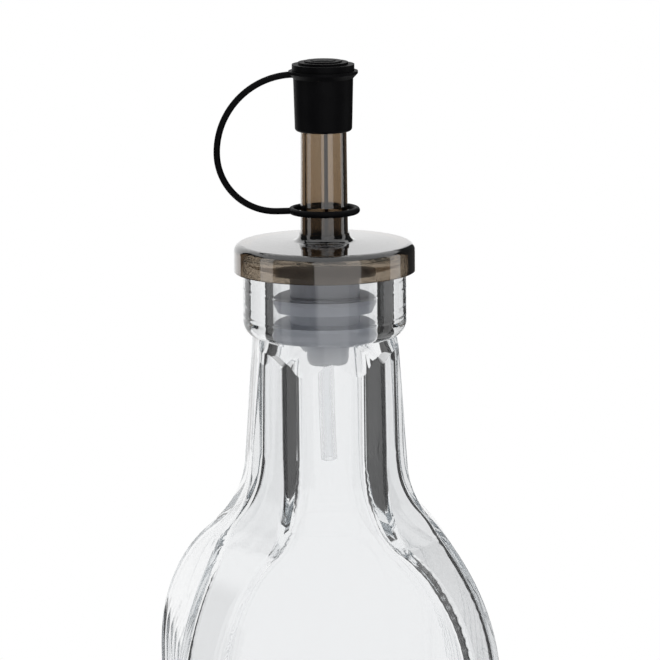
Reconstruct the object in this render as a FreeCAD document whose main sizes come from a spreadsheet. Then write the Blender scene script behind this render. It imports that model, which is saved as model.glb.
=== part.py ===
import FreeCAD, Part
import math
import os
import re
import Sketcher

# Square oil cruet: a glass bottle with fluted sides, shut by a finned plug that holds
# an air tube and a pouring spout. A rubber cap on a strap and ring closes the spout.
# Frame: origin at the middle of the base, +Z up, the fluted panels facing -X and +X.

SIZES = {
    # bottle, outside: "flat" is the distance from the axis to a flat panel and
    # "corner" the distance to one of the facets between two panels
    "rim_height": 228.0,
    "body_flat": 32.2,
    "body_corner": 38.6,
    "neck_top_flat": 12.65,
    "neck_top_corner": 15.1,
    "neck_base_flat": 15.75,
    "neck_base_corner": 16.9,
    "flat_hollow_radius": 18.0,
    "corner_hollow_radius": 18.3,
    "flat_shoulder_radius": 46.0,
    "corner_shoulder_radius": 33.5,
    "shoulder_height": 143.7,
    "facet_turn": 32.0,  # degrees from a fluted panel's normal to a corner facet's
    "heel_radius": 4.0,
    "edge_round": 2.0,
    # bottle, the round finish at the mouth
    "collar_radius": 16.3,
    "collar_step": 1.7,  # how far the collar stands out from its foot on the neck
    "collar_depth": 16.4,
    "collar_round": 3.4,
    "collar_overlap": 1.0,  # how far the neck runs on inside the collar
    "lip_round": 1.0,
    "facet_fade": 12.0,
    "facet_flare": 7.4,
    # bottle, inside
    "wall": 3.0,
    "bore_relief": 0.2,  # keeps the hollow's flat sides clear of the round bore
    "base_thickness": 6.0,
    "inner_heel_radius": 7.0,
    "inner_edge_round": 5.0,
    "bore_radius": 10.4,
    "bore_depth": 18.5,
    "bore_flare_radius": 12.0,
    "punt_radius": 21.0,
    "punt_depth": 2.4,
    "cutter_reach": 60.0,
    # flutes of the two side panels
    "flute_count": 5,
    "flute_margin": 1.2,  # plain strip left on each side of a fluted panel
    "flute_depth": 1.3,
    "flute_foot": 17.0,
    # plug
    "plug_flange_radius": 14.5,
    "plug_flange": 0.8,
    "plug_fit": 0.1,
    "barrel_depth": 3.3,
    "core_radius": 7.0,
    "upper_fin_top": 8.2,
    "upper_fin_foot": 11.0,
    "lower_fin_top": 13.4,
    "lower_fin_foot": 17.6,
    "fin_taper": 1.6,
    "plug_depth": 21.6,
    "plug_tip_radius": 6.3,
    "plug_tip_round": 1.0,
    "socket_depth": 18.6,
    "pour_hole_count": 4,
    "pour_hole_radius": 1.1,
    # air tube
    "air_tube_radius": 1.6,
    "air_bore_radius": 0.9,
    "air_tube_top": 17.0,
    "air_tube_reach": 42.0,
    "air_tube_lean": 0.45,
    # spout
    "disc_thickness": 1.3,
    "disc_round": 1.5,
    "disc_crown": 0.4,
    "skirt_depth": 3.5,
    "skirt_gap": 0.4,
    "skirt_wall": 1.4,
    "hub_step": 0.25,
    "hub_foot_round": 1.5,
    "hub_top": 4.2,
    "spout_foot_radius": 4.75,
    "spout_tip_radius": 4.5,
    "spout_top": 34.8,
    "spout_bore_radius": 3.6,
    "stem_wall": 1.05,
    "stem_fit": 0.05,
    "stem_depth": 15.0,
    "partition": 0.7,
    "partition_setback": 1.5,
    # cap, strap and ring
    "cap_fit": 0.12,
    "cap_roof": 1.2,
    "cap_top_wall": 1.25,
    "cap_foot_wall": 1.0,
    "cap_foot_round": 0.7,
    "cap_length": 11.5,
    "cap_lip": 0.5,
    "cap_lip_overhang": 0.95,
    "cap_undercut": 1.0,
    "ridge_count": 5,
    "ridge_rise": 2.2,
    "ridge_setback": 0.7,
    "strap_radius": 0.65,
    "strap_reach": 21.3,
    "strap_middle": 20.5,
    "ring_height": 8.6,
    "ring_gap": 1.1,
}

doc = FreeCAD.newDocument("oil_cruet")
sheet = doc.addObject("Spreadsheet::Sheet", "Sizes")
for row, (alias, size) in enumerate(SIZES.items(), start=1):
    sheet.set(f"A{row}", alias)
    sheet.set(f"B{row}", str(size))
    sheet.setAlias(f"B{row}", alias)
doc.recompute()

UP = FreeCAD.Vector(0, 0, 1)
UPRIGHT = FreeCAD.Rotation(FreeCAD.Vector(1, 0, 0), 90)
ORIGIN = (-1, 1)
ACROSS_AXIS = -1
UP_AXIS = -2
CREASE = 20  # degrees: a sharper turn between two faces is a crease
CLIMB = 3  # millimetres: what a crease between two panels rises at least


def value(formula):
    """What a formula of the sheet's sizes comes to."""
    return float(sheet.evalExpression(formula))


def bind(thing, field, formula):
    """Ties one field of an object to a formula of the sheet's sizes."""
    cell = lambda word: f"Sizes.{word[0]}" if word[0] in SIZES else word[0]
    thing.setExpression(field, re.sub(r"[a-z_]+", cell, formula))


def above_rim(formula):
    """A height measured up from the bottle's rim."""
    return f"rim_height + {formula}"


def below_rim(formula):
    """A height measured down from the bottle's rim."""
    return f"rim_height - ({formula})"


# ---- sketches ---------------------------------------------------------------------


def measure(sketch, kind, ends, formula):
    """Adds a driving dimension that follows the sheet."""
    index = sketch.addConstraint(Sketcher.Constraint(kind, *ends, value(formula)))
    bind(sketch, f"Constraints[{index}]", formula)


def locate(sketch, point, across=None, up=None):
    """Holds a sketch point at distances from the origin, given as formulas."""
    for kind, axis, formula in (("DistanceX", UP_AXIS, across), ("DistanceY", ACROSS_AXIS, up)):
        if formula is None:
            continue
        distance = value(formula)
        if distance == 0:
            sketch.addConstraint(Sketcher.Constraint("PointOnObject", *point, axis))
        elif distance > 0:
            measure(sketch, kind, (*ORIGIN, *point), formula)
        else:
            measure(sketch, kind, (*point, *ORIGIN), f"-({formula})")


def arc_between(start, end, bend):
    """Arc of radius |bend| from start to end that turns left for a positive bend."""
    chord = end - start
    left = FreeCAD.Vector(-chord.y, chord.x, 0).normalize()
    rise = math.sqrt(bend**2 - (chord.Length / 2) ** 2)
    centre = (start + end) / 2 + left * math.copysign(rise, bend)
    first, last = (start, end) if bend > 0 else (end, start)
    angles = [math.atan2(spot.y - centre.y, spot.x - centre.x) for spot in (first, last)]
    return Part.ArcOfCircle(Part.Circle(centre, UP, abs(bend)), *angles)


def trace(sketch, corners, closed=True):
    """Draws an outline through corners (across, up) or (across, up, bend) of formulas.

    A bend is the radius of the arc that leads to its corner, negative for one that
    turns right. An outline that isn't closed starts at its first corner.
    """
    spots = [FreeCAD.Vector(value(corner[0]), value(corner[1]), 0) for corner in corners]
    steps = range(len(corners)) if closed else range(1, len(corners))
    ends = []
    for step in steps:
        start, end, corner = spots[step - 1], spots[step], corners[step]
        if len(corner) == 2:
            edge = sketch.addGeometry(Part.LineSegment(start, end))
            ends.append((edge, 1, 2))
            continue
        bend = value(corner[2])
        edge = sketch.addGeometry(arc_between(start, end, bend))
        ends.append((edge, 1, 2) if bend > 0 else (edge, 2, 1))
        measure(sketch, "Radius", (edge,), corner[2] if bend > 0 else f"-({corner[2]})")
    for number, (edge, _, finish) in enumerate(ends[:-1] if not closed else ends):
        following, begin, _ = ends[(number + 1) % len(ends)]
        sketch.addConstraint(Sketcher.Constraint("Coincident", edge, finish, following, begin))
    if not closed:
        locate(sketch, ends[0][:2], *corners[0][:2])
    for step, (edge, _, finish) in zip(steps, ends):
        locate(sketch, (edge, finish), *corners[step][:2])


def circle(sketch, radius, across="0", up="0"):
    """Draws a circle of the given radius."""
    centre = FreeCAD.Vector(value(across), value(up), 0)
    edge = sketch.addGeometry(Part.Circle(centre, UP, value(radius)))
    measure(sketch, "Radius", (edge,), radius)
    locate(sketch, (edge, 3), across, up)


# ---- bottle -----------------------------------------------------------------------


def upright_sketch(name):
    """Free sketch in the XZ plane, its second axis pointing up."""
    sketch = doc.addObject("Sketcher::SketchObject", name)
    sketch.Placement = FreeCAD.Placement(FreeCAD.Vector(), UPRIGHT)
    return sketch


def flank_side(sketch, facing, side, neck, inset, foot, top, heel):
    """One side of a flank: neck, hollow, shoulder, body and heel, each tangent to the next."""
    neck_top, neck_base = neck
    body = f"body_{facing} - {inset}"
    hollow = f"{facing}_hollow_radius + {inset}"
    shoulder = f"{facing}_shoulder_radius - {inset}"
    signed = lambda formula: formula if side > 0 else f"-({formula})"

    # The arcs' centres with the neck taken as upright, which the tangencies then correct.
    shoulder_spot = FreeCAD.Vector(value(body) - value(shoulder), value("shoulder_height"), 0)
    hollow_across = value(neck_base) + value(hollow)
    between = value(shoulder) + value(hollow)
    climb = math.sqrt(between**2 - (hollow_across - shoulder_spot.x) ** 2)
    hollow_spot = FreeCAD.Vector(hollow_across, shoulder_spot.y + climb, 0)
    turn = math.asin(climb / between)
    heel_spot = FreeCAD.Vector(value(body) - value(heel), value(foot) + value(heel), 0)

    def mirrored(spot):
        return FreeCAD.Vector(side * spot.x, spot.y, 0)

    def arc(centre, radius, first, last):
        if side < 0:
            first, last = math.pi - last, math.pi - first
        ring = Part.Circle(mirrored(centre), UP, value(radius))
        return sketch.addGeometry(Part.ArcOfCircle(ring, first, last))

    def line(start, end):
        return sketch.addGeometry(Part.LineSegment(mirrored(start), mirrored(end)))

    neck_start = FreeCAD.Vector(value(neck_top), value(top), 0)
    neck_end = FreeCAD.Vector(value(neck_base), hollow_spot.y, 0)
    body_top = FreeCAD.Vector(value(body), shoulder_spot.y, 0)
    body_end = FreeCAD.Vector(value(body), heel_spot.y, 0)
    neck_edge = line(neck_start, neck_end)
    hollow_arc = arc(hollow_spot, hollow, math.pi, math.pi + turn)
    shoulder_arc = arc(shoulder_spot, shoulder, 0, turn)
    panel = line(body_top, body_end)
    heel_arc = arc(heel_spot, heel, -math.pi / 2, 0)
    begin, finish = (1, 2) if side > 0 else (2, 1)

    for joint in (
        (neck_edge, 2, hollow_arc, begin),
        (hollow_arc, finish, shoulder_arc, finish),
        (shoulder_arc, begin, panel, 1),
        (panel, 2, heel_arc, finish),
    ):
        sketch.addConstraint(Sketcher.Constraint("Tangent", *joint))
    sketch.addConstraint(Sketcher.Constraint("Vertical", panel))
    measure(sketch, "Radius", (hollow_arc,), hollow)
    measure(sketch, "Radius", (shoulder_arc,), shoulder)
    measure(sketch, "Radius", (heel_arc,), heel)
    locate(sketch, (neck_edge, 1), signed(neck_top), top)
    locate(sketch, (neck_edge, 2), signed(neck_base))
    locate(sketch, (shoulder_arc, 3), up="shoulder_height")
    locate(sketch, (panel, 1), signed(body))
    locate(sketch, (heel_arc, begin), signed(f"{body} - ({heel})"), foot)
    return (neck_edge, 1), (heel_arc, begin)


def flank(name, facing, neck, inset, foot, top, heel):
    """Slabs with the bottle's outline, seen square to its panels or to its corner facets."""
    sketch = upright_sketch(f"{name}_{facing}_outline")
    right = flank_side(sketch, facing, 1, neck, inset, foot, top, heel)
    left = flank_side(sketch, facing, -1, neck, inset, foot, top, heel)
    for right_end, left_end in zip(right, left):
        spots = [sketch.getPoint(*end) for end in (right_end, left_end)]
        edge = sketch.addGeometry(Part.LineSegment(*spots))
        sketch.addConstraint(Sketcher.Constraint("Coincident", edge, 1, *right_end))
        sketch.addConstraint(Sketcher.Constraint("Coincident", edge, 2, *left_end))
    turns = ("0", "90") if facing == "flat" else ("facet_turn", "-facet_turn")
    slabs = []
    for number, turn in enumerate(turns):
        slab = doc.addObject("Part::Extrusion", f"{name}_{facing}_slab_{number}")
        slab.Base = sketch
        slab.DirMode = "Custom"
        slab.Dir = FreeCAD.Vector(0, 1, 0)
        slab.Symmetric = True
        slab.Solid = True
        bind(slab, "LengthFwd", "2 * cutter_reach")
        slab.Placement.Rotation = FreeCAD.Rotation(UP, value(turn))
        bind(slab, "Placement.Rotation.Angle", turn)
        slabs.append(slab)
    return slabs


def revolved(name, corners):
    """Solid of revolution about the bottle's axis."""
    sketch = upright_sketch(f"{name}_outline")
    trace(sketch, corners)
    turned = doc.addObject("Part::Revolution", name)
    turned.Source = sketch
    turned.Axis = UP
    turned.Angle = 360
    turned.Solid = True
    return turned


def combined(kind, name, shapes):
    """Part::MultiFuse or Part::MultiCommon of several shapes."""
    result = doc.addObject(f"Part::{kind}", name)
    result.Shapes = shapes
    return result


def crease_angle(shape, edge):
    """Degrees between the two faces that meet along an edge, or 0 along a seam."""
    spot = edge.valueAt((edge.FirstParameter + edge.LastParameter) / 2)
    faces = shape.ancestorsOfType(edge, Part.Face)
    normals = [face.normalAt(*face.Surface.parameter(spot)) for face in faces]
    return math.degrees(normals[0].getAngle(normals[1])) if len(normals) == 2 else 0


def softened(name, solid, radius):
    """Rounds the creases that climb the solid between its panels and corner facets."""
    doc.recompute()
    rounded = doc.addObject("Part::Fillet", name)
    rounded.Base = solid
    rounded.Edges = [
        (number, value(radius), value(radius))
        for number, edge in enumerate(solid.Shape.Edges, start=1)
        if edge.BoundBox.ZLength > CLIMB and crease_angle(solid.Shape, edge) > CREASE
    ]
    return rounded


def glass_blank():
    """The bottle's outside: eight-sided, fading into a round collar at the mouth."""
    shape = ("0", "0", below_rim("lip_round"), "heel_radius")
    faces = []
    for facing in ("flat", "corner"):
        neck = (f"neck_top_{facing}", f"neck_base_{facing}")
        faces += flank("blank", facing, neck, *shape)
    junction = below_rim("collar_depth")
    junction_radius = "(collar_radius - collar_step)"
    fade_end = below_rim("collar_depth + facet_fade")
    envelope = revolved("neck_envelope", [
        ("0", "0"),
        ("cutter_reach", "0"),
        ("cutter_reach", fade_end),
        (f"{junction_radius} + facet_flare", fade_end),
        (f"{junction_radius} - collar_overlap / 2", f"{junction} + collar_overlap"),
        ("0", f"{junction} + collar_overlap"),
    ])
    collar = revolved("collar", [
        ("0", junction),
        (junction_radius, junction),
        ("collar_radius", f"{junction} + collar_round", "collar_round"),
        ("collar_radius", below_rim("lip_round")),
        ("collar_radius - lip_round", "rim_height", "lip_round"),
        ("0", "rim_height"),
    ])
    faceted = combined("MultiCommon", "faceted_blank", faces + [envelope])
    body = softened("softened_blank", faceted, "edge_round")
    return combined("MultiFuse", "blank", [body, collar])


def hollow():
    """The bottle's inside: a round bore that opens into an eight-sided room."""
    neck = ("bore_radius + bore_relief",) * 2
    shape = (neck, "wall", "base_thickness", above_rim("lip_round"), "inner_heel_radius")
    faces = flank("hollow", "flat", *shape) + flank("hollow", "corner", *shape)
    bore_end = below_rim("bore_depth")
    room_top = below_rim("bore_depth + bore_flare_radius")
    bore = revolved("bore", [
        ("0", "0"),
        ("cutter_reach", "0"),
        ("cutter_reach", room_top),
        ("bore_radius + bore_flare_radius", room_top),
        ("bore_radius", bore_end, "-bore_flare_radius"),
        ("bore_radius", above_rim("lip_round")),
        ("0", above_rim("lip_round")),
    ])
    room = combined("MultiCommon", "faceted_hollow", faces + [bore])
    return softened("hollow", room, "inner_edge_round")


def flutes():
    """Round-bottomed cutters for the flutes, each ending in a scoop above the heel."""
    panel = "2 * (body_corner - body_flat * cos(facet_turn)) / sin(facet_turn)"
    pitch = f"(({panel} - 2 * flute_margin) / flute_count)"
    sweep = f"(({pitch} / 2)^2 + flute_depth^2) / (2 * flute_depth)"
    out = f"body_flat - flute_depth + {sweep}"
    cutters = []
    for side, sign in (("left", "-1"), ("right", "1")):
        for number in range(SIZES["flute_count"]):
            along = f"({number} - (flute_count - 1) / 2) * {pitch}"
            groove = doc.addObject("Part::Cylinder", f"flute_{side}_{number}")
            bind(groove, "Height", "rim_height - flute_foot")
            scoop = doc.addObject("Part::Sphere", f"flute_scoop_{side}_{number}")
            for cutter in (groove, scoop):
                bind(cutter, "Radius", sweep)
                bind(cutter, "Placement.Base.x", f"{sign} * ({out})")
                bind(cutter, "Placement.Base.y", along)
                bind(cutter, "Placement.Base.z", "flute_foot")
                cutters.append(cutter)
    return cutters


def bottle():
    """Glass bottle with its hollow, flutes and the shallow dome under its base."""
    punt = doc.addObject("Part::Sphere", "punt")
    dome = "(punt_radius^2 + punt_depth^2) / (2 * punt_depth)"
    bind(punt, "Radius", dome)
    bind(punt, "Placement.Base.z", f"punt_depth - ({dome})")
    cutters = combined("MultiFuse", "cutters", [hollow(), punt] + flutes())
    glass = doc.addObject("Part::Cut", "bottle")
    glass.Base = glass_blank()
    glass.Tool = cutters
    return glass


# ---- plug, air tube, spout and cap --------------------------------------------------

SOCKET_RADIUS = "(spout_bore_radius + stem_wall + stem_fit)"
SPOUT_TAPER = "(spout_foot_radius - spout_tip_radius) / (spout_top - hub_top)"
CAP_BORE = f"(spout_tip_radius + {SPOUT_TAPER} * (cap_length - cap_roof) + cap_fit)"
RING_RADIUS = "(spout_foot_radius + ring_gap + strap_radius)"

def new_body(name):
    return doc.addObject("PartDesign::Body", name)


def body_sketch(body, name, plane="XZ_Plane", offset=None):
    """Sketch on one of the body's own planes, moved by offset along that plane's axes."""
    sketch = body.newObject("Sketcher::SketchObject", name)
    face = next(item for item in body.Origin.OriginFeatures if item.Role == plane)
    sketch.AttachmentSupport = [(face, "")]
    sketch.MapMode = "FlatFace"
    for axis, formula in (offset or {}).items():
        bind(sketch, f"AttachmentOffset.Base.{axis}", formula)
    return sketch


def revolve(body, name, draw, kind="Revolution"):
    """Adds (or, as a Groove, cuts) a full turn of what draw puts in a sketch."""
    sketch = body_sketch(body, f"{name}_sketch")
    draw(sketch)
    turned = body.newObject(f"PartDesign::{kind}", name)
    turned.Profile = sketch
    turned.ReferenceAxis = (sketch, ["V_Axis"])
    turned.Angle = 360
    return turned


def pipe(body, name, path, draw, plane, offset):
    """Sweeps what draw puts in a sketch along a route in the XZ plane."""
    spine = body_sketch(body, f"{name}_route")
    trace(spine, path, closed=False)
    section = body_sketch(body, f"{name}_section", plane, offset)
    draw(section)
    swept = body.newObject("PartDesign::AdditivePipe", name)
    swept.Profile = section
    swept.Spine = (spine, [])
    return swept


def fin(top, foot):
    """Corners of one barbed fin, widest at its top edge."""
    rim = "bore_radius - plug_fit"
    return [
        ("core_radius", below_rim(foot)),
        (f"{rim} - fin_taper / 2", below_rim(foot)),
        (rim, below_rim(f"{top} + fin_taper / 2")),
        (rim, below_rim(top)),
        ("core_radius", below_rim(top)),
    ]


def stopper_plug():
    """Plug: a flange on the rim, a barrel and two fins in the bore, and a hollow core."""
    body = new_body("stopper_plug")
    tip = below_rim("plug_depth")
    barrel = "bore_radius - plug_fit"
    outline = [
        ("0", below_rim("socket_depth")),
        ("0", tip),
        ("plug_tip_radius - plug_tip_round", tip),
        ("plug_tip_radius", f"{tip} + plug_tip_round", "plug_tip_round"),
        *fin("lower_fin_top", "lower_fin_foot"),
        *fin("upper_fin_top", "upper_fin_foot"),
        ("core_radius", below_rim("barrel_depth")),
        (barrel, below_rim("barrel_depth")),
        (barrel, "rim_height"),
        ("plug_flange_radius", "rim_height"),
        ("plug_flange_radius", above_rim("plug_flange")),
        (SOCKET_RADIUS, above_rim("plug_flange")),
        (SOCKET_RADIUS, below_rim("socket_depth")),
    ]
    revolve(body, "plug_turned", lambda sketch: trace(sketch, outline))

    tube_hole = body_sketch(body, "tube_hole_sketch", "XY_Plane", {"z": below_rim("socket_depth")})
    circle(tube_hole, "air_tube_radius")
    bored = body.newObject("PartDesign::Pocket", "tube_hole")
    bored.Profile = tube_hole
    bored.Type = 1

    pour_hole = body_sketch(body, "pour_hole_sketch", "XY_Plane", {"z": below_rim("socket_depth")})
    circle(pour_hole, "pour_hole_radius", f"(air_tube_radius + {SOCKET_RADIUS}) / 2")
    opened = body.newObject("PartDesign::Pocket", "pour_hole")
    opened.Profile = pour_hole
    opened.Type = 1
    around = body.newObject("PartDesign::PolarPattern", "pour_holes")
    around.Originals = [opened]
    around.Axis = (pour_hole, ["N_Axis"])
    around.Angle = 360
    bind(around, "Occurrences", "pour_hole_count")
    body.Tip = around
    return body


def air_tube():
    """Thin tube pressed into the plug's floor, hanging slightly off plumb in the neck."""
    body = new_body("air_tube")
    hang = "(air_tube_reach - plug_depth)"
    bend = f"({hang}^2 + air_tube_lean^2) / (2 * air_tube_lean)"
    route = [
        ("0", below_rim("air_tube_top")),
        ("0", below_rim("plug_depth")),
        ("air_tube_lean", below_rim("air_tube_reach"), bend),
    ]

    def walls(sketch):
        circle(sketch, "air_tube_radius")
        circle(sketch, "air_bore_radius")

    pipe(body, "tube", route, walls, "XY_Plane", {"z": below_rim("air_tube_top")})
    return body


def pourer_spout():
    """Spout: a skirted disc over the rim, a hub, a tapering tube and its stem in the plug."""
    body = new_body("pourer_spout")
    seat = above_rim("plug_flange")
    disc_top = f"{seat} + disc_thickness"
    skirt_foot = below_rim("skirt_depth")
    hub_foot = f"{disc_top} + disc_crown"
    skirt_radius = "(collar_radius + skirt_gap)"
    disc_radius = f"({skirt_radius} + skirt_wall)"
    hub_radius = "(spout_foot_radius + hub_step)"
    stem_radius = f"{SOCKET_RADIUS} - stem_fit"
    outline = [
        (skirt_radius, seat),
        (skirt_radius, skirt_foot),
        (disc_radius, skirt_foot),
        (disc_radius, f"{disc_top} - disc_round"),
        (f"{disc_radius} - disc_round", disc_top, "disc_round"),
        (f"{hub_radius} + hub_foot_round", hub_foot),
        (hub_radius, f"{hub_foot} + hub_foot_round", "-hub_foot_round"),
        (hub_radius, above_rim("hub_top")),
        ("spout_foot_radius", above_rim("hub_top")),
        ("spout_tip_radius", above_rim("spout_top")),
        ("spout_bore_radius", above_rim("spout_top")),
        ("spout_bore_radius", below_rim("stem_depth")),
        (stem_radius, below_rim("stem_depth")),
        (stem_radius, seat),
    ]
    revolve(body, "spout_turned", lambda sketch: trace(sketch, outline))

    divider = body_sketch(body, "divider_sketch", "XY_Plane", {"z": below_rim("stem_depth")})
    half_wide = "(spout_bore_radius + spout_tip_radius) / 2"
    trace(divider, [
        ("-partition / 2", f"-({half_wide})"),
        ("partition / 2", f"-({half_wide})"),
        ("partition / 2", half_wide),
        ("-partition / 2", half_wide),
    ])
    wall = body.newObject("PartDesign::Pad", "divider")
    wall.Profile = divider
    bind(wall, "Length", "stem_depth + spout_top - partition_setback")
    body.Tip = wall
    return body


def ridges(radius_at_lip, lip_top):
    """Corners of the stepped dome on the cap, from its outer step to its crown."""
    corners = []
    level = lip_top
    for step in range(SIZES["ridge_count"], 0, -1):
        radius = f"({radius_at_lip} - ridge_setback) * {step} / ridge_count"
        corners.append((radius, level))
        level = f"{lip_top} + ridge_rise * sqrt(1 - (({step} - 1) / ridge_count)^2)"
        corners.append((radius, level))
    return corners + [("0", level)]


def tethered_cap():
    """Rubber cap over the spout's tip, moulded with its strap and the ring round the spout."""
    body = new_body("tethered_cap")
    roof = above_rim("spout_top")
    lip_foot = f"{roof} + cap_roof"
    lip_top = f"{lip_foot} + cap_lip"
    foot = f"{lip_foot} - cap_length"
    top_radius = f"{CAP_BORE} + cap_top_wall"
    foot_radius = f"{CAP_BORE} + cap_foot_wall"
    lip_radius = f"{top_radius} + cap_lip_overhang"
    outline = [
        ("0", roof),
        (CAP_BORE, roof),
        (CAP_BORE, foot),
        (f"{foot_radius} - cap_foot_round", foot),
        (foot_radius, f"{foot} + cap_foot_round", "cap_foot_round"),
        (top_radius, f"{lip_foot} - cap_undercut"),
        (lip_radius, lip_foot),
        (lip_radius, lip_top),
        *ridges(lip_radius, lip_top),
    ]
    revolve(body, "cap_turned", lambda sketch: trace(sketch, outline))

    strap_top = f"{lip_top} - strap_radius"
    middle = above_rim("strap_middle")
    ring_level = above_rim("ring_height")
    upper_bend = f"{strap_top} - ({middle})"
    lower_bend = "strap_middle - ring_height"
    start = f"-strap_reach + {upper_bend}"
    route = [
        (start, strap_top),
        ("-strap_reach", middle, upper_bend),
        (f"-strap_reach + {lower_bend}", ring_level, lower_bend),
        (f"-{RING_RADIUS}", ring_level),
    ]
    strand = lambda sketch: circle(sketch, "strap_radius")
    pipe(body, "strap", route, strand, "YZ_Plane", {"y": strap_top, "z": start})
    ring = lambda sketch: circle(sketch, "strap_radius", RING_RADIUS, ring_level)
    body.Tip = revolve(body, "ring", ring)
    return body


# ---- build and export -----------------------------------------------------------------

pieces = [bottle(), stopper_plug(), air_tube(), pourer_spout(), tethered_cap()]
doc.recompute()

for item in doc.Objects:
    if "Invalid" in item.State or "Error" in item.State:
        raise ValueError(f"{item.Name} did not compute: {item.State}")

os.makedirs("parts", exist_ok=True)
for piece in pieces:
    if piece.Shape.isNull() or not piece.Shape.isValid() or len(piece.Shape.Solids) != 1:
        raise ValueError(f"{piece.Label} is not one sound solid")
    piece.Shape.exportStep(f"parts/{piece.Label}.step")
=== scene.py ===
import math
import bpy
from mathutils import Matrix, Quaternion, Vector

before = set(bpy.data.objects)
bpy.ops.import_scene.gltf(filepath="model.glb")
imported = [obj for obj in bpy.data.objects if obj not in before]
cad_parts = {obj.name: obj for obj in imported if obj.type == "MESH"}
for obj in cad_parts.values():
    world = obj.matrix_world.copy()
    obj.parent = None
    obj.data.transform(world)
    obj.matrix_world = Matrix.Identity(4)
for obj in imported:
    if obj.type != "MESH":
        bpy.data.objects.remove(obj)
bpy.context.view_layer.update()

# Lengths are in metres, angles in degrees unless turned into radians here.
UP = Vector((0.0, 0.0, 1.0))
WHITE = (1.0, 1.0, 1.0, 1.0)

# ---- camera and framing -----------------------------------------------------------

VIEW_AZIMUTH = math.radians(-6.5)
VIEW_ELEVATION = math.radians(10.5)
VIEW_DISTANCE = 0.85
FRAME_HEIGHT = 0.132  # what the picture spans at the bottle's axis
AIM = Vector((0.0010, 0.0, 0.2123))
ROLL = math.radians(-0.42)
SENSOR = 36.0  # millimetres, as the lens is
GLASS_BOUNCES = 48  # light runs far inside the thick wall before it leaves


def toward_camera(elevation=VIEW_ELEVATION):
    """Unit vector from the object to the camera."""
    flat = math.cos(elevation)
    return Vector((
        math.sin(VIEW_AZIMUTH) * flat, -math.cos(VIEW_AZIMUTH) * flat, math.sin(elevation),
    ))


def add_camera():
    lens = bpy.data.cameras.new("camera")
    lens.sensor_width = SENSOR
    lens.lens = SENSOR * VIEW_DISTANCE / FRAME_HEIGHT
    camera = bpy.data.objects.new("camera", lens)
    bpy.context.collection.objects.link(camera)
    camera.location = AIM + toward_camera() * VIEW_DISTANCE
    turn = (-toward_camera()).to_track_quat("-Z", "Y")
    camera.rotation_euler = (turn @ Quaternion(UP, ROLL)).to_euler()
    bpy.context.scene.camera = camera


def set_view():
    scene = bpy.context.scene
    scene.view_settings.view_transform = "Standard"
    scene.cycles.max_bounces = GLASS_BOUNCES
    scene.cycles.transmission_bounces = GLASS_BOUNCES
    scene.cycles.glossy_bounces = GLASS_BOUNCES


# ---- nodes --------------------------------------------------------------------------

MIX_COLOURS = (6, 7)  # where a Mix node keeps its two colours
MIX_COLOUR_RESULT = 2


class Nodes:
    """Adds nodes to a tree. Each value given sets an input, or links it if it is a socket."""

    def __init__(self, tree):
        self.tree = tree

    def fill(self, slot, setting):
        if isinstance(setting, bpy.types.NodeSocket):
            self.tree.links.new(setting, slot)
        else:
            slot.default_value = setting

    def add(self, kind, values=None, **fields):
        node = self.tree.nodes.new(kind)
        for field, setting in fields.items():
            setattr(node, field, setting)
        for name, setting in (values or {}).items():
            self.fill(node.inputs[name], setting)
        return node

    def maths(self, operation, first, second=0.0):
        made = self.add("ShaderNodeMath", {0: first, 1: second}, operation=operation)
        return made.outputs[0]

    def vector(self, operation, first, second, result):
        made = self.add("ShaderNodeVectorMath", {0: first, 1: second}, operation=operation)
        return made.outputs[result]

    def smooth(self, amount, low, high):
        """Rises softly from nought to one as the amount goes from low to high."""
        ramp = self.add("ShaderNodeMapRange", {
            "Value": amount, "From Min": low, "From Max": high,
        }, interpolation_type="SMOOTHSTEP")
        return ramp.outputs[0]

    def between(self, amount, low, high):
        """Runs from one number to another as the amount runs from nought to one."""
        ramp = self.add("ShaderNodeMapRange", {
            "Value": amount, "To Min": low, "To Max": high,
        })
        return ramp.outputs[0]

    def tone(self, amount, first, last):
        """Blends one colour into another."""
        mixed = self.add("ShaderNodeMix", {0: amount}, data_type="RGBA")
        for slot, colour in zip(MIX_COLOURS, (first, last)):
            self.fill(mixed.inputs[slot], colour)
        return mixed.outputs[MIX_COLOUR_RESULT]

    def place(self):
        """Where the point is on the object."""
        return self.add("ShaderNodeTexCoord").outputs["Object"]

    def height(self):
        """How far the point is above the table."""
        return self.add("ShaderNodeSeparateXYZ", {0: self.place()}).outputs["Z"]

    def from_axis(self):
        """How far the point is from the bottle's upright axis."""
        flat = self.vector("MULTIPLY", self.place(), (1.0, 1.0, 0.0), 0)
        return self.vector("LENGTH", flat, (0.0, 0.0, 0.0), "Value")

    def noise(self, scale, detail, stretch=(1.0, 1.0, 1.0)):
        """Cloudy pattern: the scale counts blots a metre, a stretch below one draws them out."""
        spread = self.add("ShaderNodeMapping", {"Vector": self.place(), "Scale": stretch})
        made = self.add("ShaderNodeTexNoise", {
            "Vector": spread.outputs[0], "Scale": scale, "Detail": detail,
        })
        return made.outputs[0]

    def bump(self, height, distance):
        made = self.add("ShaderNodeBump", {
            "Height": height, "Distance": distance, "Strength": 1.0,
        })
        return made.outputs[0]


def material(name):
    made = bpy.data.materials.new(name)
    made.use_nodes = True
    made.node_tree.nodes.clear()
    nodes = Nodes(made.node_tree)
    output = nodes.add("ShaderNodeOutputMaterial")
    return made, nodes, output


def solid_material(name, describe, absorbed=None, density=0.0):
    """Material from a function that gives the shader's inputs, with colour in its depth."""
    made, nodes, output = material(name)
    shader = nodes.add("ShaderNodeBsdfPrincipled", describe(nodes))
    nodes.fill(output.inputs["Surface"], shader.outputs[0])
    if absorbed:
        depth = nodes.add("ShaderNodeVolumeAbsorption", {"Color": absorbed, "Density": density})
        nodes.fill(output.inputs["Volume"], depth.outputs[0])
    return made


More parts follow.
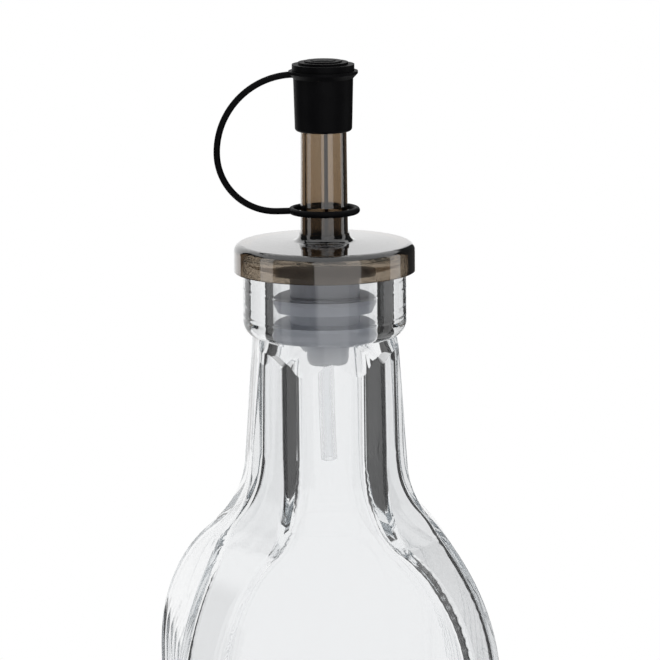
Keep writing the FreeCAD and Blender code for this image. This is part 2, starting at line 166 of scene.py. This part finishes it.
def dress(node, made):
    """Gives a CAD node its material."""
    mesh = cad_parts[node].data
    mesh.materials.clear()
    mesh.materials.append(made)


# ---- studio -------------------------------------------------------------------------

# Dark boards stand round the studio, given as bearings from straight behind the object.
# They show in gloss and in light that has run along the glass wall, so that the backdrop
# stays white through the middle of the bottle, and they repeat, so that the far side
# looks the same.
BOARDS = ((14.0, 67.0), (90.0, 132.0))
BOARD_REPEAT = 180.0
BOARD_EDGE = 2.5  # over which a board fades in
BOARD_LEVEL = 0.04  # how bright a board is
BOARD_TOP = 0.5  # sine of the boards' height in the sky
BOARD_TOP_EDGE = 0.1
WALL_CROSSINGS = 3.0  # light that crosses as many glass faces misses the boards
FULL_TURN = 360.0

FLOOR_HALF = 3.0
FLOOR_COLOUR = (0.88, 0.88, 0.88, 1.0)
FLOOR_ROUGHNESS = 0.8
SHADOW_RADIUS = 0.22  # the floor keeps the object's shadow to here
WHITE_RADIUS = 0.42  # and is plain white from here

SOFTBOX_SIZE = 2.4
SOFTBOX_HEIGHT = 1.8
SOFTBOX_WATTS = 14.0


def dark_boards(nodes, direction):
    """How much light the boards take away along a direction."""
    away = -toward_camera(0.0)
    along = nodes.vector("DOT_PRODUCT", direction, away, "Value")
    aside = nodes.vector("DOT_PRODUCT", direction, away.cross(UP), "Value")
    angle = nodes.maths("DEGREES", nodes.maths("ARCTAN2", aside, along))
    folded = nodes.maths("MODULO", nodes.maths("ADD", angle, FULL_TURN), BOARD_REPEAT)
    covered = 0.0
    for first, last in BOARDS:
        inside = nodes.maths("MULTIPLY", nodes.smooth(folded, first - BOARD_EDGE, first),
                             nodes.smooth(folded, last + BOARD_EDGE, last))
        covered = nodes.maths("MAXIMUM", covered, inside)
    rays = nodes.add("ShaderNodeLightPath").outputs
    mirrored = nodes.maths("MAXIMUM", rays["Is Glossy Ray"], rays["Is Transmission Ray"])
    few = nodes.maths("LESS_THAN", rays["Transmission Depth"], WALL_CROSSINGS)
    shown = nodes.maths("MULTIPLY", covered, nodes.maths("MULTIPLY", mirrored, few))
    return nodes.maths("MULTIPLY", shown, 1.0 - BOARD_LEVEL)


def add_world():
    world = bpy.data.worlds.new("studio")
    bpy.context.scene.world = world
    world.use_nodes = True
    world.node_tree.nodes.clear()
    nodes = Nodes(world.node_tree)
    direction = nodes.add("ShaderNodeTexCoord").outputs["Generated"]
    height = nodes.add("ShaderNodeSeparateXYZ", {0: direction}).outputs["Z"]
    below_top = nodes.smooth(height, BOARD_TOP + BOARD_TOP_EDGE, BOARD_TOP)
    lost = nodes.maths("MULTIPLY", dark_boards(nodes, direction), below_top)
    level = nodes.maths("SUBTRACT", 1.0, lost)
    background = nodes.add("ShaderNodeBackground", {"Color": WHITE, "Strength": level})
    nodes.add("ShaderNodeOutputWorld", {"Surface": background.outputs[0]})


def add_floor():
    mesh = bpy.data.meshes.new("floor")
    sides = ((-1, -1), (1, -1), (1, 1), (-1, 1))
    corners = [(x * FLOOR_HALF, y * FLOOR_HALF, 0.0) for x, y in sides]
    mesh.from_pydata(corners, [], [(0, 1, 2, 3)])
    floor = bpy.data.objects.new("floor", mesh)
    bpy.context.collection.objects.link(floor)
    made, nodes, output = material("floor")
    shader = nodes.add("ShaderNodeBsdfPrincipled", {
        "Base Color": FLOOR_COLOUR, "Roughness": FLOOR_ROUGHNESS,
    })
    far = nodes.smooth(nodes.from_axis(), SHADOW_RADIUS, WHITE_RADIUS)
    lost = nodes.maths("MULTIPLY", dark_boards(nodes, nodes.place()), far)
    level = nodes.maths("SUBTRACT", 1.0, lost)
    glow = nodes.add("ShaderNodeEmission", {"Color": WHITE, "Strength": level})
    rays = nodes.add("ShaderNodeLightPath").outputs
    seen = nodes.maths("MULTIPLY", rays["Is Camera Ray"], far)
    through = nodes.maths("MAXIMUM", rays["Is Transmission Ray"], rays["Is Glossy Ray"])
    white = nodes.maths("MAXIMUM", seen, through)
    mixed = nodes.add("ShaderNodeMixShader", {
        0: white, 1: shader.outputs[0], 2: glow.outputs[0],
    })
    nodes.fill(output.inputs["Surface"], mixed.outputs[0])
    mesh.materials.append(made)


def add_softbox():
    lamp = bpy.data.lights.new("softbox", "AREA")
    lamp.shape = "DISK"
    lamp.size = SOFTBOX_SIZE
    lamp.energy = SOFTBOX_WATTS
    box = bpy.data.objects.new("softbox", lamp)
    bpy.context.collection.objects.link(box)
    box.location = (0.0, 0.0, SOFTBOX_HEIGHT)
    box.visible_glossy = False
    box.visible_transmission = False


# ---- materials ----------------------------------------------------------------------

# The bottle: slow waves in the glass, and two faint mould lines round the collar.
MOULD_LINES = (0.2211, 0.2156)  # their heights
MOULD_LINE_WIDTH = 0.0005
MOULD_LINE_RISE = 0.8  # as a share of the relief
COLLAR_INSIDE = 0.0145  # only surfaces farther out than this carry the lines
GLASS_RELIEF = 0.00006
GLASS_RIPPLE = 0.05  # the finer waves' share

# The pourer: its spout is lighter than the disc, and the hub between them is darkest.
FOOT_BLEND = (0.2335, 0.2310)  # heights over which the spout's tone turns into the disc's
HUB_BLEND = (0.2385, 0.2350)
HUB_RADII = (0.0085, 0.0070)
SPOUT_TONE = (0.90, 0.87, 0.82, 1.0)
DISC_TONE = (0.72, 0.71, 0.68, 1.0)
HUB_TONE = (0.36, 0.33, 0.29, 1.0)
SMOKE_RELIEF = 0.000006

# The plug: its tip is lighter, partly for its thin milky wall and partly from painted light
# coming up through the clear neck. The grey of the fins is painted shade on a plug that is milky
# white, and its top is darker still with the painted shadow of the smoke disc.
# Heights over which the tip's painted light and the disc's painted shadow blend in.
THIN_LIT_TIP_BLEND = (0.2120, 0.2055)
DISC_SHADOW_BLEND = (0.2140, 0.2225)
# Tip: lighter for its thin wall and with painted light from the clear neck.
THIN_LIT_TIP_TONE = (0.72, 0.73, 0.75, 1.0)
# Fins: painted shade, grey in place of the plug's milky white.
SHADED_FIN_TONE = (0.43, 0.45, 0.50, 1.0)
# Top: painted shadow of the smoke disc above.
DISC_SHADOW_TONE = (0.31, 0.32, 0.36, 1.0)
PLUG_RELIEF = 0.00002

TUBE_RELIEF = 0.000006

RUBBER_DARK = (0.0010, 0.0010, 0.0013, 1.0)
RUBBER_PALE = (0.0028, 0.0028, 0.0034, 1.0)
RUBBER_RELIEF = 0.00003

ALONG_SPOUT = (1.0, 1.0, 0.25)  # the pattern runs with the moulding
ALONG_TUBE = (1.0, 1.0, 0.06)


def glass(nodes):
    ripple = nodes.maths("MULTIPLY", nodes.noise(260.0, 0.0), GLASS_RIPPLE)
    relief = nodes.maths("ADD", nodes.noise(70.0, 1.0), ripple)
    outside = nodes.maths("GREATER_THAN", nodes.from_axis(), COLLAR_INSIDE)
    for line in MOULD_LINES:
        away = nodes.maths("ABSOLUTE", nodes.maths("SUBTRACT", nodes.height(), line))
        ring = nodes.maths("MULTIPLY", nodes.smooth(away, MOULD_LINE_WIDTH, 0.0), outside)
        relief = nodes.maths("ADD", relief, nodes.maths("MULTIPLY", ring, MOULD_LINE_RISE))
    return {
        "Base Color": (0.93, 0.935, 0.94, 1.0), "IOR": 1.52, "Transmission Weight": 1.0,
        "Roughness": nodes.between(nodes.noise(900.0, 3.0), 0.0, 0.012),
        "Normal": nodes.bump(relief, GLASS_RELIEF),
    }


def smoke_plastic(nodes):
    height = nodes.height()
    body = nodes.tone(nodes.smooth(height, *FOOT_BLEND), SPOUT_TONE, DISC_TONE)
    hub = nodes.maths("MULTIPLY", nodes.smooth(height, *HUB_BLEND),
                      nodes.smooth(nodes.from_axis(), *HUB_RADII))
    return {
        "Base Color": nodes.tone(hub, body, HUB_TONE), "IOR": 1.5, "Transmission Weight": 1.0,
        "Roughness": nodes.between(nodes.noise(140.0, 3.0), 0.01, 0.07),
        "Coat Weight": 1.0, "Coat IOR": 1.6, "Coat Roughness": 0.03,
        "Normal": nodes.bump(nodes.noise(150.0, 1.0, ALONG_SPOUT), SMOKE_RELIEF),
    }


def milky_plastic_painted_shade(nodes):
    height = nodes.height()
    # The painted shadow of the smoke disc darkens the top, over the painted shade of the grey
    # fins.
    body = nodes.tone(nodes.smooth(height, *DISC_SHADOW_BLEND), SHADED_FIN_TONE, DISC_SHADOW_TONE)
    return {
        # The tip is lighter, partly for its thin wall and partly from painted light through the
        # neck.
        "Base Color": nodes.tone(nodes.smooth(height, *THIN_LIT_TIP_BLEND), body, THIN_LIT_TIP_TONE),
        "Roughness": nodes.between(nodes.noise(700.0, 3.0), 0.32, 0.5),
        "Normal": nodes.bump(nodes.noise(1400.0, 3.0), PLUG_RELIEF),
    }


def frosted_plastic(nodes):
    streaks = nodes.noise(1600.0, 3.0, ALONG_TUBE)
    return {
        "Base Color": (0.97, 0.975, 0.98, 1.0), "IOR": 1.4, "Transmission Weight": 1.0,
        "Roughness": nodes.between(streaks, 0.1, 0.35),
        "Normal": nodes.bump(streaks, TUBE_RELIEF),
    }


def black_rubber(nodes):
    grain = nodes.noise(2600.0, 4.0)
    return {
        "Base Color": nodes.tone(nodes.noise(240.0, 3.0), RUBBER_DARK, RUBBER_PALE),
        "Specular IOR Level": 0.06,
        "Roughness": nodes.between(grain, 0.38, 0.6),
        "Normal": nodes.bump(grain, RUBBER_RELIEF),
    }


set_view()
add_camera()
add_world()
add_floor()
add_softbox()
dress("bottle", solid_material("bottle_glass", glass, (0.63, 0.66, 0.68, 1.0), 12.0))
dress("pourer_spout", solid_material(
    "smoke_plastic", smoke_plastic, (0.62, 0.53, 0.42, 1.0), 1400.0))
# The plug's colour holds painted shade and, at its tip, painted light.
dress("stopper_plug", solid_material("white_plastic", milky_plastic_painted_shade))
dress("air_tube", solid_material("clear_plastic", frosted_plastic))
dress("tethered_cap", solid_material("black_rubber", black_rubber))
